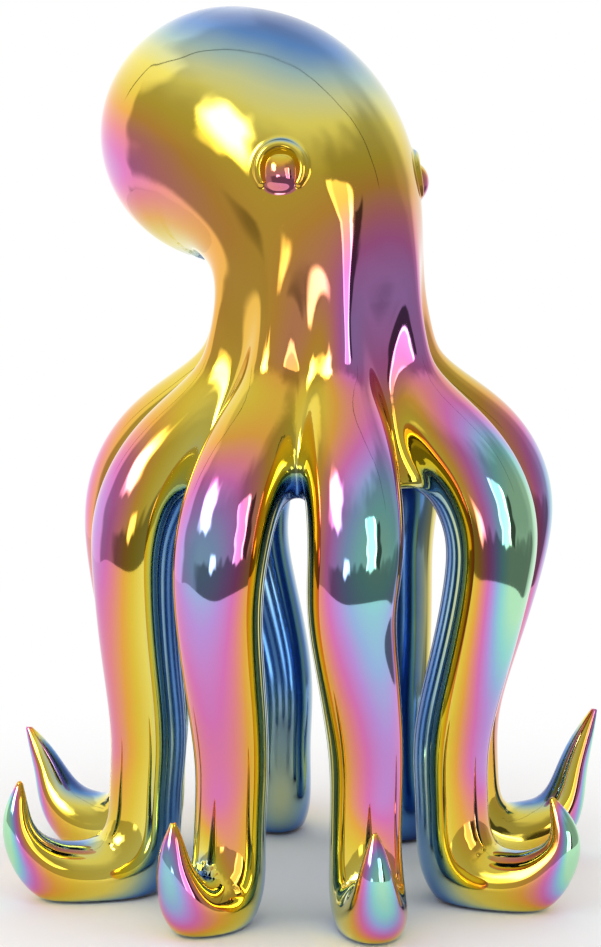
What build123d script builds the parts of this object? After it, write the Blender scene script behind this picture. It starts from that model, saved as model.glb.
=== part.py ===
from build123d import *
from dataclasses import dataclass
from math import cos, radians, sin
import os

# Octopus ornament: hollow ceramic castings joined by lips and spigots, on felt pads.
# Millimetres, +Z up, the ground at zero, the face towards -Y, its right side at -X.

# Castings and their joints
wall = 4.0
seam_gap = 0.3
lip_wall = 3.0
lip_length = 6.0
lip_root = 4.0
lip_bite = 1.5
lip_gap = 0.6

# Soles and felt pads
pad_radius = 8.5
pad_thickness = 1.6
pad_proud = 0.6
pad_setback = 3.0

# Middle of the eight feet, placed so that the origin is under the middle of the whole ornament
axis_x = -3.4
axis_y = -3.4

# Neck: the seam of head and collar, and how far it stands towards the face
neck_height = 259.0
neck_radius = 45.0
neck_lean = 14.0
lean_start = 37.0

# Head and mantle: circles that fan out from the crease behind the neck
crease_at_neck = 7.5
crease_at_mantle = 5.2
brow_rows = [(22.0, 47.4), (45.0, 51.6)]
seam_angle = 66.0
seam_radius = 55.2
mantle_rows = [(80.0, 56.6)]
mantle_angle = 94.0
mantle_radius = 57.0

# Collar: the bell that carries the arms, from the neck down to its rim
rim_height = 183.0
rim_radius = 65.0
collar_rows = [(237.0, 46.5), (217.0, 51.0), (201.0, 57.5)]
ledge = 3.0
ledge_height = 6.0

# Belly plate
belly_rise = 12.0
belly_wall = 4.0
belly_margin = 3.5
vent_radius = 8.0

# Spigots of the collar, on the line of each arm
spigot_radius = 10.0
spigot_bore = 7.0
spigot_length = 10.0
spigot_tail = 22.0
spigot_height = 198.0

# Arms: where each one stands; the bearing is measured from the face, positive to the left side


@dataclass
class Stance:
    """Bearings in degrees, reaches from the axis and the toe's height, for one arm."""

    name: str
    shoulder_bearing: float
    ankle_bearing: float
    toe_bearing: float
    shoulder_reach: float
    ankle_reach: float
    toe_reach: float
    tip_height: float
    tip_lean: float


stances = [
    Stance("right_1", -28.5, -19.0, -24.5, 85.0, 76.0, 114.0, 48.5, -2.0),
    Stance("right_2", -67.0, -63.5, -69.5, 84.0, 73.0, 108.0, 49.5, 0.0),
    Stance("right_3", -112.5, -112.5, -113.0, 77.0, 68.0, 127.0, 52.0, -2.0),
    Stance("right_4", -157.5, -160.0, -160.0, 88.0, 74.0, 129.0, 50.0, 10.0),
    Stance("left_1", 22.5, 22.5, 22.5, 85.0, 73.0, 128.0, 49.0, -7.0),
    Stance("left_2", 67.5, 67.5, 67.5, 91.0, 76.0, 130.0, 64.0, 9.0),
    Stance("left_3", 112.0, 103.0, 105.0, 85.0, 73.0, 126.0, 51.0, 0.0),
    Stance("left_4", 157.5, 146.0, 147.0, 85.0, 73.0, 126.0, 51.0, 0.0),
]

# Arm sections: share of the way, height, half thickness and half width
root_reach = 23.0
root_rows = [
    (0.05, 255.0, 17.0, 15.5),
    (0.08, 244.0, 17.5, 16.0),
    (0.17, 228.0, 18.5, 17.5),
    (0.42, 209.5, 20.0, 19.0),
    (0.78, 190.0, 20.5, 20.0),
    (1.00, 164.0, 19.6, 19.8),
    (1.00, 140.0, 18.2, 18.6),
]
shin_rows = [
    (0.30, 116.0, 17.4, 17.4),
    (0.70, 92.0, 16.8, 16.4),
    (1.00, 67.0, 16.4, 15.3),
]
foot_rows = [
    (0.02, 41.0, 15.8, 15.0),
    (0.05, 24.0, 17.0, 15.4),
    (0.17, 12.0, 19.0, 15.8),
    (0.45, 9.0, 15.5, 15.4),
    (0.70, 12.0, 14.0, 13.2),
    (0.88, 20.5, 10.4, 10.6),
]
# Toe sections: share of the reach, of the lean and of the rise, half thickness and half width
toe_rows = [
    (0.985, 0.0, 0.40, 6.8, 7.2),
    (1.000, 0.6, 0.80, 4.0, 4.2),
    (1.000, 1.0, 1.00, 1.5, 1.5),
]
# Rows of the sections between which a spigot stands, a cavity runs and a pad lies
spigot_row = 3
cavity_first = 3
cavity_last = 13
pad_row = 13
cavity_floor = 7.0

# Eyes: angle in the fan, angle around the head, then sizes
eye_places = {"right": (40.5, -43.0), "left": (35.0, 49.0)}
eye_radius = 7.4
eye_bulge = 4.4
eye_sink = 3.0
shank_radius = 4.0
shank_length = 9.0
eyelid_thickness = 1.9
eyelid_span = 250.0
eyelid_lift = 0.2


def axis_at(height):
    """Point on the body's axis, which leans towards the face from the ankles up."""
    share = min(max((height - lean_start) / (neck_height - lean_start), 0.0), 1.0)
    lean = neck_lean * share * share * (3.0 - 2.0 * share)
    return Vector(axis_x, axis_y - lean, height)


crease = axis_at(neck_height) + Vector(0, crease_at_neck + neck_radius, 0)


def outward_at(angle):
    """Direction of a head section away from the crease."""
    return Vector(0, -cos(radians(angle)), sin(radians(angle)))


def fan_centre(angle, radius):
    """Middle of a head section that stands at an angle above the level neck section."""
    clear = crease_at_neck + (crease_at_mantle - crease_at_neck) * angle / mantle_angle
    return crease + outward_at(angle) * (clear + radius)


def fan_plane(angle, radius):
    """Plane of a head section, its normal towards the mantle."""
    normal = (0.0, sin(radians(angle)), cos(radians(angle)))
    return Plane(origin=fan_centre(angle, radius), x_dir=(1, 0, 0), z_dir=normal)


def disc(plane, radius):
    """Round section on a plane."""
    with BuildSketch(plane) as profile:
        Circle(radius)
    return profile.sketch


def oval(plane, half_width, half_thickness):
    """Oval section on a plane, wide along the plane's X."""
    with BuildSketch(plane) as profile:
        Ellipse(half_width, half_thickness)
    return profile.sketch


def fan_sections(rows, inset):
    """Head or mantle sections, drawn in by an inset."""
    return [disc(fan_plane(angle, radius), radius - inset) for angle, radius in rows]


def collar_sections(inset):
    """Collar sections from the rim up to the neck, drawn in by an inset."""
    rows = [(rim_height, rim_radius)] + collar_rows[::-1] + [(neck_height - seam_gap, neck_radius)]
    return [disc(Plane(axis_at(height)), radius - inset) for height, radius in rows]


def arm_rows(stance):
    """Bearing, reach, height, half thickness and half width of each section of an arm."""
    rows = []
    for share, height, thick, wide in root_rows:
        reach = root_reach + share * (stance.shoulder_reach - root_reach)
        rows.append((stance.shoulder_bearing, reach, height, thick, wide))
    for share, height, thick, wide in shin_rows:
        bearing = stance.shoulder_bearing + share * (stance.ankle_bearing - stance.shoulder_bearing)
        reach = stance.shoulder_reach + share * (stance.ankle_reach - stance.shoulder_reach)
        rows.append((bearing, reach, height, thick, wide))
    for share, height, thick, wide in foot_rows:
        bearing = stance.ankle_bearing + share * (stance.toe_bearing - stance.ankle_bearing)
        reach = stance.ankle_reach + share * (stance.toe_reach - stance.ankle_reach)
        rows.append((bearing, reach, height, thick, wide))
    start = foot_rows[-1][1]
    for share, lean, rise, thick, wide in toe_rows:
        reach = stance.ankle_reach + share * (stance.toe_reach - stance.ankle_reach)
        height = start + rise * (stance.tip_height - start)
        rows.append((stance.toe_bearing, reach + lean * stance.tip_lean, height, thick, wide))
    return rows


def arm_point(bearing, reach, height):
    """Point on an arm's centre line."""
    angle = radians(bearing)
    return axis_at(height) + Vector(sin(angle), -cos(angle), 0) * reach


def arm_sections(stance, inset, first=0, last=None):
    """Oval sections of an arm, square to its centre line, drawn in by an inset."""
    rows = arm_rows(stance)
    points = [arm_point(*row[:3]) for row in rows]
    end = len(rows) - 1
    sections = []
    for index, (bearing, reach, height, thick, wide) in enumerate(rows):
        along = points[min(index + 1, end)] - points[max(index - 1, 0)]
        across = (cos(radians(bearing)), sin(radians(bearing)), 0.0)
        plane = Plane(origin=points[index], x_dir=across, z_dir=along)
        if first <= index <= (end if last is None else last):
            sections.append(oval(plane, wide - inset, thick - inset))
    return sections


def shoulder_gap(index, side):
    """Bearing of the plane between an arm and its neighbour on one side."""
    order = sorted(stances, key=lambda stance: stance.shoulder_bearing)
    place = order.index(stances[index])
    here = order[place].shoulder_bearing
    there = order[(place + side) % len(order)].shoulder_bearing
    turn = (there - here) * side % 360.0
    return here + side * turn / 2.0


def lip(plane, radius):
    """Register lip inside a seam of the given outer radius, along the plane's normal."""
    bore = radius - wall - lip_wall - lip_gap
    with BuildPart() as ring:
        with BuildSketch(plane.offset(-lip_root)):
            Circle(radius - wall + lip_bite)
            Circle(bore, mode=Mode.SUBTRACT)
        extrude(amount=lip_root)
        with BuildSketch(plane):
            Circle(radius - wall - lip_gap)
            Circle(bore, mode=Mode.SUBTRACT)
        extrude(amount=lip_length)
    return ring.part


head_rows = [(0.0, neck_radius)] + brow_rows + [(seam_angle, seam_radius)]
sac_rows = [(seam_angle, seam_radius)] + mantle_rows + [(mantle_angle, mantle_radius)]
seam_plane = fan_plane(seam_angle, seam_radius)
dome_plane = fan_plane(mantle_angle, mantle_radius)
neck_plane = Plane(axis_at(neck_height))

dome_align = (Align.CENTER, Align.CENTER, Align.MIN)

os.makedirs("parts", exist_ok=True)

# Mantle: the fan from the seam to the widest circle, closed by half a ball
with BuildPart() as mantle:
    loft(sections=fan_sections(sac_rows, 0.0))
    with Locations(dome_plane.location):
        Sphere(mantle_radius, arc_size1=0, arc_size2=90, align=dome_align)
    loft(sections=fan_sections(sac_rows, wall), mode=Mode.SUBTRACT)
    with Locations(dome_plane.location):
        Sphere(mantle_radius - wall, arc_size1=0, arc_size2=90, align=dome_align, mode=Mode.SUBTRACT)
    split(bisect_by=seam_plane.offset(seam_gap), keep=Keep.TOP)
mantle.part.label = "mantle"
export_step(mantle.part, "parts/mantle.step")

# Whole head without its hollow, for fitting the eyes to its skin
with BuildPart() as head_skin:
    loft(sections=fan_sections(head_rows, -seam_gap))


def eye_plane(side):
    """Plane on the skin of the head at an eye, its normal outwards and its Y up."""
    angle, around = eye_places[side]
    ray = outward_at(angle) * cos(radians(around)) + Vector(1, 0, 0) * sin(radians(around))
    hits = head_skin.part.find_intersection_points(Axis(fan_centre(angle, neck_radius), ray))
    point, normal = max(hits, key=lambda hit: hit[0].dot(ray))
    return Plane(origin=point, x_dir=Vector(0, 0, 1).cross(normal), z_dir=normal)


# Head: the brow and neck, with seats for the eye shanks and a lip into the mantle
with BuildPart() as head:
    loft(sections=fan_sections(head_rows, 0.0))
    loft(sections=fan_sections(head_rows, wall), mode=Mode.SUBTRACT)
    add(lip(seam_plane, seam_radius))
    for side in eye_places:
        with Locations(eye_plane(side).location):
            Cylinder(shank_radius + seam_gap, 2 * shank_length, mode=Mode.SUBTRACT)
head.part.label = "head"
export_step(head.part, "parts/head.step")

# Eyes and eyelids, cut to the skin of the head
for side in eye_places:
    place = eye_plane(side)
    ball_radius = (eye_radius ** 2 + eye_bulge ** 2) / (2 * eye_bulge)

    with BuildPart() as eye:
        with Locations(place.offset(eye_bulge - ball_radius).location):
            Sphere(ball_radius)
        with Locations(place.offset(-eye_sink).location):
            Cylinder(eye_radius, 2 * (eye_bulge + eye_sink), mode=Mode.INTERSECT)
        add(head_skin.part, mode=Mode.SUBTRACT)
        with Locations(place.location):
            Cylinder(shank_radius, shank_length, align=(Align.CENTER, Align.CENTER, Align.MAX))
    eye.part.label = f"eye_{side}"
    export_step(eye.part, f"parts/eye_{side}.step")

    start = radians((360.0 - eyelid_span) / 2.0 - 90.0)
    outwards = place.x_dir * cos(start) + place.y_dir * sin(start)
    onwards = place.y_dir * cos(start) - place.x_dir * sin(start)
    with BuildPart() as eyelid:
        with BuildSketch(Plane(place.origin, x_dir=outwards, z_dir=-onwards)):
            with Locations((eye_radius + seam_gap + eyelid_thickness, eyelid_lift)):
                Circle(eyelid_thickness)
        revolve(axis=Axis(place.origin, place.z_dir), revolution_arc=eyelid_span)
        add(head_skin.part, mode=Mode.SUBTRACT)
    eyelid.part.label = f"eyelid_{side}"
    export_step(eyelid.part, f"parts/eyelid_{side}.step")

# Collar without its hollow, with the slip gap, for fitting the arms to its skin
with BuildPart() as collar_skin:
    loft(sections=collar_sections(-seam_gap))


def spigot_plane(stance):
    """Plane where an arm's spigot leaves the collar, its normal along the arm."""
    rows = arm_rows(stance)
    upper = arm_point(*rows[spigot_row][:3])
    lower = arm_point(*rows[spigot_row + 1][:3])
    share = (upper.Z - spigot_height) / (upper.Z - lower.Z)
    return Plane(origin=upper + (lower - upper) * share, z_dir=lower - upper)


# Collar: the bell, a ledge for the belly plate, a lip into the head and eight spigots
rim_plane = Plane(axis_at(rim_height))
with BuildPart() as collar:
    loft(sections=collar_sections(0.0))
    for stance in stances:
        with BuildSketch(spigot_plane(stance).offset(-spigot_tail)):
            Circle(spigot_radius)
        extrude(amount=spigot_tail + spigot_length)
    loft(sections=collar_sections(wall + ledge), mode=Mode.SUBTRACT)
    with BuildSketch(rim_plane):
        Circle(rim_radius - wall)
    extrude(amount=ledge_height, mode=Mode.SUBTRACT)
    for stance in stances:
        with BuildSketch(spigot_plane(stance).offset(-spigot_tail)):
            Circle(spigot_bore)
        extrude(amount=spigot_tail + spigot_length, mode=Mode.SUBTRACT)
    add(lip(neck_plane, neck_radius))
collar.part.label = "collar"
export_step(collar.part, "parts/collar.step")

# Belly plate: a dished plate on the ledge, with the firing vent
plate_radius = rim_radius - wall - seam_gap
dish_edge = plate_radius - ledge - belly_margin
dish_radius = (dish_edge ** 2 + belly_rise ** 2) / (2 * belly_rise)
dish_centre = rim_plane.offset(ledge_height + belly_rise - dish_radius)
with BuildPart() as belly_plate:
    with BuildSketch(rim_plane):
        Circle(plate_radius)
    extrude(amount=ledge_height)
    with Locations(dish_centre.location):
        Sphere(dish_radius)
    with BuildSketch(rim_plane):
        Circle(plate_radius)
    extrude(amount=ledge_height + belly_rise + belly_wall, mode=Mode.INTERSECT)
    with Locations(dish_centre.location):
        Sphere(dish_radius - belly_wall, mode=Mode.SUBTRACT)
    with Locations(rim_plane.location):
        Hole(vent_radius)
belly_plate.part.label = "belly_plate"
export_step(belly_plate.part, "parts/belly_plate.step")

# Arms and their felt pads
block_size = 2.0 * rim_radius
for index, stance in enumerate(stances):
    pad_bearing, pad_reach = arm_rows(stance)[pad_row][:2]
    pad_plane = Plane(arm_point(pad_bearing, pad_reach - pad_setback, 0.0))

    with BuildPart() as cavity:
        loft(sections=arm_sections(stance, wall, cavity_first, cavity_last))
        split(bisect_by=Plane.XY.offset(cavity_floor), keep=Keep.TOP)

    with BuildPart() as arm:
        loft(sections=arm_sections(stance, 0.0))
        split(bisect_by=Plane.XY.offset(pad_proud), keep=Keep.TOP)
        add(cavity.part, mode=Mode.SUBTRACT)
        with BuildSketch(spigot_plane(stance).offset(-spigot_tail)):
            Circle(spigot_radius + seam_gap)
        extrude(amount=spigot_tail + spigot_length + seam_gap, mode=Mode.SUBTRACT)
        add(collar_skin.part, mode=Mode.SUBTRACT)
        for side in (-1, 1):
            turn = radians(shoulder_gap(index, side))
            along = (sin(turn), -cos(turn), 0.0)
            middle = Plane(axis_at(rim_height), x_dir=along, z_dir=(0, 0, 1))
            with BuildSketch(middle):
                with Locations((0, -side * seam_gap / 2.0)):
                    Rectangle(block_size, block_size, align=(Align.MIN, Align.MAX if side < 0 else Align.MIN))
            extrude(amount=neck_height - rim_height, mode=Mode.SUBTRACT)
        with BuildSketch(pad_plane):
            Circle(pad_radius + seam_gap)
        extrude(amount=pad_thickness, mode=Mode.SUBTRACT)
    arm.part.label = f"arm_{stance.name}"
    export_step(arm.part, f"parts/arm_{stance.name}.step")

    with BuildPart() as foot_pad:
        with BuildSketch(pad_plane):
            Circle(pad_radius)
        extrude(amount=pad_thickness)
    foot_pad.part.label = f"foot_pad_{stance.name}"
    export_step(foot_pad.part, f"parts/foot_pad_{stance.name}.step")
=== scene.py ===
"""Octopus figurine: mirror-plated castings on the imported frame, in a plain white studio."""
import logging
import math
from dataclasses import dataclass, field
from enum import Enum
from typing import Sequence

import bpy
import numpy as np
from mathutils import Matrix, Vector


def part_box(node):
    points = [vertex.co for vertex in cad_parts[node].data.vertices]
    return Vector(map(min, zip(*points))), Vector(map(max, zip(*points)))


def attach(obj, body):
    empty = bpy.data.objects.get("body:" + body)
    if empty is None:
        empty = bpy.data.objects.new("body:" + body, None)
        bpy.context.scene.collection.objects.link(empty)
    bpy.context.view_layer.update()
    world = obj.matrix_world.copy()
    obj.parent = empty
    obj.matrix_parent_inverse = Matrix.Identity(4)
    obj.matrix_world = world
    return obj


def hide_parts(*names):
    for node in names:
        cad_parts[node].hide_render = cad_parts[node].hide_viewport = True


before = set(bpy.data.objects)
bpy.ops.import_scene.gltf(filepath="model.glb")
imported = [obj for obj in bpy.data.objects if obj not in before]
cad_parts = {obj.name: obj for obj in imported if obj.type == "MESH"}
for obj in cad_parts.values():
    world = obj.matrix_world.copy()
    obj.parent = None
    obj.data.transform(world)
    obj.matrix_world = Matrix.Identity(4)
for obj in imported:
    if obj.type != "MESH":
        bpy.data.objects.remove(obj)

LOG = logging.getLogger("octopus")
MM = 0.001
Array = np.ndarray
Probe = tuple[Array, Array]


class Piece(Enum):
    """The castings that share one plated skin. The arms follow in the order of STANCES."""

    MANTLE = 0
    HEAD = 1
    COLLAR = 2
    BELLY = 3
    FIRST_ARM = 4


class Slot(Enum):
    """Material slots of the record."""

    PLATED = "plated_glaze"
    EYE = "plated_eye"
    FELT = "felt"


@dataclass(frozen=True)
class Stance:
    """How one arm stands: bearings in degrees from the face, reaches and heights in millimetres."""

    name: str
    shoulder_bearing: float
    ankle_bearing: float
    toe_bearing: float
    shoulder_reach: float
    ankle_reach: float
    toe_reach: float
    tip_height: float
    tip_lean: float


STANCES = (
    Stance("right_1", -28.5, -19.0, -24.5, 85, 76, 114, 48.5, -2),
    Stance("right_2", -67.0, -63.5, -69.5, 84, 73, 108, 49.5, 0),
    Stance("right_3", -112.5, -112.5, -113.0, 77, 68, 127, 52, -2),
    Stance("right_4", -157.5, -160.0, -160.0, 88, 74, 129, 50, 10),
    Stance("left_1", 22.5, 22.5, 22.5, 85, 73, 128, 49, -7),
    Stance("left_2", 67.5, 67.5, 67.5, 91, 76, 130, 64, 9),
    Stance("left_3", 112.0, 103.0, 105.0, 85, 73, 126, 51, 0),
    Stance("left_4", 157.5, 146.0, 147.0, 85, 73, 126, 51, 0),
)

# Share of the way outwards, height, half thickness and half width along an arm.
ROOT_REACH = 23.0
CREST_ROWS = ((0.10, 292, 10.0, 8.5), (0.14, 274, 12.2, 9.0))
ROOT_ROWS = ((0.165, 258, 13.0, 9.5), (0.185, 244, 14.8, 11.0), (0.225, 228, 17.2, 14.5),
             (0.42, 209.5, 20.0, 19.0), (0.78, 190, 20.5, 20.0), (1.0, 164, 19.6, 19.8),
             (1.0, 140, 18.2, 18.6))
SHIN_ROWS = ((0.30, 116, 17.4, 17.4), (0.70, 92, 16.8, 16.4), (1.0, 67, 16.4, 15.3))
FOOT_ROWS = ((0.02, 41, 15.8, 15.0), (0.05, 24, 17.0, 15.4), (0.17, 12, 19.0, 15.8),
             (0.45, 9.0, 15.5, 15.4), (0.70, 12.0, 14.0, 13.2), (0.88, 20.5, 10.4, 10.6))
TOE_ROWS = ((0.985, 0.0, 0.40, 6.8, 7.2), (1.0, 0.6, 0.80, 4.0, 4.2), (1.0, 1.0, 1.0, 1.5, 1.5))

# Collar: height and radius. Head and mantle: turn about the crease behind the neck, distance
# of the section's middle from the crease, half depth and half width.
AXIS_X, AXIS_Y = -3.4, -3.4
NECK_HEIGHT, NECK_LEAN, LEAN_START, CREASE = 259.0, 14.0, 37.0, 52.5
COLLAR_ROWS = ((167.0, 70.5), (183.0, 64.5), (201.0, 55.0), (217.0, 47.5), (237.0, 43.0))
HEAD_ROWS = ((0.0, 52.5, 42.6, 42.6), (22.0, 54.1, 46.0, 46.0), (45.0, 57.9, 51.6, 51.4),
             (66.0, 61.5, 55.0, 55.2), (80.0, 63.4, 55.4, 56.6), (94.0, 64.0, 55.2, 57.0))
SEAM_ANGLE = 66.0
RIM_HEIGHT, RIM_ROUND = 183.0, 10.0
BELLY_RADIUS, BELLY_RISE, BELLY_ROUND = 44.0, 12.0, 4.0
SOLE_HEIGHT, SOLE_ROUND = 0.6, 2.0

# Seams: the arms are cut below a height, lie clear of the collar's surface and leave a web of the
# collar between neighbours. The belly plate's seam is a circle near the middle of its rise.
ARM_CUT_HEIGHT, COLLAR_LAP, WEB = 203.0, 2.0, 5.0
BELLY_SEAM_RADIUS, BELLY_SEAM_RISE, BELLY_SEAM_SPAN = 37.0, 6.0, 9.0

# Eyes: where they sit on the head, then the sizes of ball and lid.
EYE_PLACES = {"right": (40.5, -43.0), "left": (35.0, 49.0)}
EYE_RADIUS, EYE_BULGE, LID_THICK, LID_SPAN = 7.4, 4.4, 1.9, 250.0
EYE_LENGTH, EYE_SAG = 1.12, -1.0

# Corners of the box in which the skin is worked out.
ROOM = np.array([-140.0, -140.0, -3.0]), np.array([140.0, 140.0, 392.0])


def axis_at(height: Array) -> Array:
    """Middle of the body at each height.

    Args:
        height: Heights in millimetres.

    Returns:
        Points on the leaning axis, one row per height.
    """
    height = np.asarray(height, float)
    share = np.clip((height - LEAN_START) / (NECK_HEIGHT - LEAN_START), 0.0, 1.0)
    lean = -NECK_LEAN * share * share * (3.0 - 2.0 * share)
    return np.stack([np.full_like(height, AXIS_X), AXIS_Y + lean, height], -1)


def join(a: Probe, b: Probe, width: float) -> Probe:
    """Union of two fields with a fillet.

    Args:
        a: First field and its gradient.
        b: Second field and its gradient.
        width: Reach of the fillet in millimetres.

    Returns:
        The joined field and its gradient.
    """
    near = np.maximum(width - np.abs(a[0] - b[0]), 0.0) / width
    share = np.where(a[0] < b[0], 1.0 - near ** 2 / 2.0, near ** 2 / 2.0)[:, None]
    value = np.minimum(a[0], b[0]) - near ** 3 * width / 6.0
    return value, share * a[1] + (1.0 - share) * b[1]


def trim(a: Probe, b: Probe, width: float) -> Probe:
    """Intersection of two fields with a rounded edge.

    Args:
        a: First field and its gradient.
        b: Second field and its gradient.
        width: Reach of the rounding in millimetres.

    Returns:
        The trimmed field and its gradient.
    """
    value, slope = join((-a[0], -a[1]), (-b[0], -b[1]), width)
    return -value, -slope


def unit(rows: Array) -> Array:
    """Rows scaled to length 1."""
    return rows / np.linalg.norm(rows, axis=1)[:, None]


def quad_edges(quads: Array) -> Array:
    """Directed edges of quads, first sides first."""
    return np.concatenate([quads[:, [a, (a + 1) % 4]] for a in range(4)])


def floor_field(points: Array, height: float) -> Probe:
    """Field of the half space above a height, with its gradient."""
    return height - points[:, 2], np.tile([0.0, 0.0, -1.0], (len(points), 1))


class Spline:
    """Natural cubic spline through rows of numbers, by chord length."""

    def __init__(self, rows: Array, chord: Array) -> None:
        """Solves the spline.

        Args:
            rows: Values to pass through, one row per knot.
            chord: Rising knot positions.
        """
        self.rows, self.chord = rows, chord
        count, step = len(chord), np.diff(chord)
        system, right = np.eye(count), np.zeros_like(rows)
        slope = np.diff(rows, axis=0) / step[:, None]
        for i in range(1, count - 1):
            system[i, i - 1:i + 2] = step[i - 1], 2.0 * (step[i - 1] + step[i]), step[i]
            right[i] = 6.0 * (slope[i] - slope[i - 1])
        self.bend = np.linalg.solve(system, right)

    def __call__(self, at: Array) -> Array:
        """Values at given positions.

        Args:
            at: Positions between the first and the last knot.

        Returns:
            One row per position.
        """
        i = np.clip(np.searchsorted(self.chord, at) - 1, 0, len(self.chord) - 2)
        step = (self.chord[i + 1] - self.chord[i])[:, None]
        b = (at - self.chord[i])[:, None] / step
        a = 1.0 - b
        bend = (a ** 3 - a) * self.bend[i] + (b ** 3 - b) * self.bend[i + 1]
        return a * self.rows[i] + b * self.rows[i + 1] + bend * step ** 2 / 6.0


@dataclass
class Sweep:
    """A tube of oval sections along a smooth centre line, as a signed field in millimetres."""

    points: Array
    halves: Array
    lateral: Array
    spacing: float = 1.5
    reach: float = 18.0

    def __post_init__(self) -> None:
        """Samples the centre line evenly."""
        chord = self.length(self.points)
        rows = np.concatenate([self.points, self.halves, self.lateral], 1)
        spline = Spline(rows, chord)
        fine = spline(np.linspace(0.0, chord[-1], 2000))
        along = self.length(fine[:, :3])
        count = int(along[-1] / self.spacing) + 1
        even = np.interp(np.linspace(0.0, along[-1], count), along, np.linspace(0.0, chord[-1], 2000))
        line = self.soften(spline(even))
        self.centre, self.half, self.side = line[:, :3].copy(), line[:, 3:5].copy(), line[:, 5:8].copy()
        self.pace = np.gradient(self.centre, axis=0)
        self.turn = np.gradient(self.pace, axis=0)
        self.low = (self.centre - self.half.max(1)[:, None]).min(0) - self.reach
        self.high = (self.centre + self.half.max(1)[:, None]).max(0) + self.reach

    @staticmethod
    def length(points: Array) -> Array:
        """Length along a row of points, from 0 at the first."""
        return np.concatenate([[0.0], np.cumsum(np.linalg.norm(np.diff(points, axis=0), axis=1))])

    @staticmethod
    def soften(line: Array, width: int = 3) -> Array:
        """Takes small waves out of the sampled rows, the ends kept.

        Args:
            line: Sampled rows.
            width: Spread of the filter in samples.

        Returns:
            The smoothed rows.
        """
        span = 3 * width
        weight = np.exp(-0.5 * (np.arange(-span, span + 1) / width) ** 2)
        head = 2.0 * line[0] - line[span:0:-1]
        tail = 2.0 * line[-1] - line[-2:-span - 2:-1]
        padded = np.concatenate([head, line, tail])
        return np.stack([np.convolve(c, weight / weight.sum(), "valid") for c in padded.T], -1)

    def near(self, points: Array) -> Array:
        """Indices of the points inside the padded box."""
        return np.flatnonzero(((points > self.low) & (points < self.high)).all(1))

    def nearest(self, points: Array) -> Array:
        """Sample index nearest to each point.

        Args:
            points: Points in millimetres.

        Returns:
            Whole sample positions.
        """
        square = (self.centre ** 2).sum(1)
        found = [np.argmin(square - 2.0 * (part @ self.centre.T), 1)
                 for part in np.array_split(points, max(1, len(points) // 40000))]
        return np.concatenate(found)

    def line(self, place: Array) -> tuple[Array, Array, Array, Array]:
        """Centre, pace and turn of the centre line at fractional sample positions.

        Args:
            place: Sample positions.

        Returns:
            Centre, pace, turn, and the share of the way to the next sample.
        """
        i = np.minimum(place.astype(int), len(self.centre) - 2)
        f = (place - i)[:, None]
        g = 1.0 - f
        m, n = self.pace[i], self.pace[i + 1]
        ends = (1 + 2 * f) * g * g * self.centre[i] + f * f * (3 - 2 * f) * self.centre[i + 1]
        centre = ends + f * g * (g * m - f * n)
        return centre, g * m + f * n, self.turn[i], f

    def foot(self, points: Array, rounds: int = 2) -> Array:
        """Foot of the perpendicular from each point on the centre line.

        Args:
            points: Points in millimetres.
            rounds: Newton rounds after the nearest sample.

        Returns:
            Fractional sample positions.
        """
        place, last = self.nearest(points).astype(float), len(self.centre) - 1.0
        for _ in range(rounds):
            centre, pace, turn, _ = self.line(place)
            gap = points - centre
            square = np.einsum("ij,ij->i", pace, pace)
            slope = np.maximum(square - np.einsum("ij,ij->i", gap, turn), 0.25 * square)
            place = np.clip(place + np.einsum("ij,ij->i", gap, pace) / slope, 0.0, last)
        return place

    def section(self, points: Array, place: Array) -> tuple[Array, Array, Array]:
        """Points in the frame of their own section.

        Args:
            points: Points in millimetres.
            place: Sample positions from foot().

        Returns:
            Local coordinates, half sizes, and the three axes (out, side, ahead) per point.
        """
        centre, pace, _, f = self.line(place)
        i = np.minimum(place.astype(int), len(self.centre) - 2)
        half = (1.0 - f) * self.half[i] + f * self.half[i + 1]
        side = (1.0 - f) * self.side[i] + f * self.side[i + 1]
        ahead = pace / np.sqrt(np.einsum("ij,ij->i", pace, pace))[:, None]
        side = side - ahead * np.einsum("ij,ij->i", side, ahead)[:, None]
        side /= np.sqrt(np.einsum("ij,ij->i", side, side))[:, None]
        axes = np.stack([np.cross(side, ahead), side, ahead], 1)
        local = np.einsum("ijk,ik->ij", axes, points - centre)
        return local, np.concatenate([half, half.max(1)[:, None]], 1), axes

    def probe(self, points: Array, slopes: bool) -> Probe:
        """Signed field, negative inside, and its gradient.

        Args:
            points: Points in millimetres.
            slopes: Whether the gradient is wanted.

        Returns:
            The field and the gradient, which stays zero if it isn't wanted.
        """
        place = self.foot(points)
        local, size, axes = self.section(points, place)
        k0 = np.maximum(np.linalg.norm(local / size, axis=1), 1e-9)
        k1 = np.maximum(np.linalg.norm(local / size ** 2, axis=1), 1e-9)
        value = k0 * (k0 - 1.0) / k1
        if not slopes:
            return value, np.zeros((len(points), 3))
        tilt = (local / size ** 2) * ((2.0 * k0 - 1.0) / (k0 * k1))[:, None]
        tilt -= (local / size ** 4) * (value / k1 ** 2)[:, None]
        gradient = np.einsum("ijk,ij->ik", axes, tilt)
        free = (place > 0.0) & (place < len(self.centre) - 1.0)
        step = np.where(place < len(self.centre) - 2.0, 0.05, -0.05)
        shifted, size, _ = self.section(points, place + step)
        k0 = np.maximum(np.linalg.norm(shifted / size, axis=1), 1e-9)
        k1 = np.maximum(np.linalg.norm(shifted / size ** 2, axis=1), 1e-9)
        change = np.where(free, (k0 * (k0 - 1.0) / k1 - value) / step, 0.0)
        centre, pace, turn, _ = self.line(place)
        pull = np.einsum("ij,ij->i", pace, pace) - np.einsum("ij,ij->i", points - centre, turn)
        return value, gradient + pace * (change / np.maximum(pull, 0.2))[:, None]


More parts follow.
